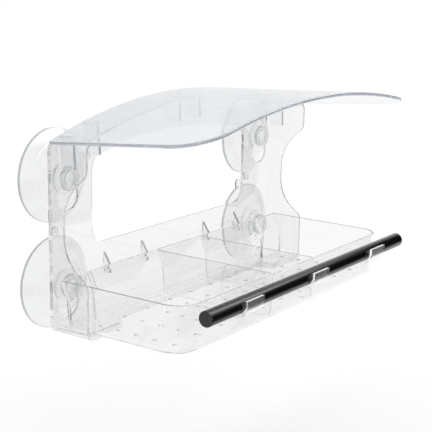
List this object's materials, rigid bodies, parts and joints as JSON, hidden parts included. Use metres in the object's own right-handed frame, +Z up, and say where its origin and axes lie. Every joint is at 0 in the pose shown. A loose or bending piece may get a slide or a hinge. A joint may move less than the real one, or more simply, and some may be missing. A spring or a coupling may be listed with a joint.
{
  "type": "window bird feeder",
  "caption": "Clear window-mounted bird feeder with an arched lift-off roof, a slide-out divided seed tray, a round perch and suction cups in keyholes.",
  "frame": {"origin": "on the window plane, midway between the four suction cups", "axes": "+X to the right along the window seen from outside, +Y into the window, +Z up"},
  "size_m": [0.332, 0.1621, 0.1798],
  "materials": {
    "clear_plastic": "clear, polished moulding",
    "black_rod": "satin black",
    "soft_vinyl": "clear, soft and smooth"
  },
  "bodies": {
    "window_cups": {"suction_cup_upper_left": "soft_vinyl", "suction_cup_upper_right": "soft_vinyl", "suction_cup_lower_left": "soft_vinyl", "suction_cup_lower_right": "soft_vinyl"},
    "housing": {"housing": "clear_plastic"},
    "roof": {"roof": "clear_plastic"},
    "tray": {"seed_tray": "clear_plastic"},
    "perch": {"perch": "black_rod"}
  },
  "joints": [
    {"name": "housing_lift", "type": "slide", "parent": "window_cups", "child": "housing", "axis": [0, 0, 1], "range_m": [0, 0.014]},
    {"name": "roof_lift", "type": "slide", "parent": "housing", "child": "roof", "axis": [0, 0.0488, 0.9988], "range_m": [0, 0.06]},
    {"name": "tray_slide", "type": "slide", "parent": "housing", "child": "tray", "axis": [0, -1, 0], "range_m": [0, 0.12]},
    {"name": "perch_lift", "type": "slide", "parent": "tray", "child": "perch", "axis": [0, 0, 1], "range_m": [0, 0.04]}
  ]
}
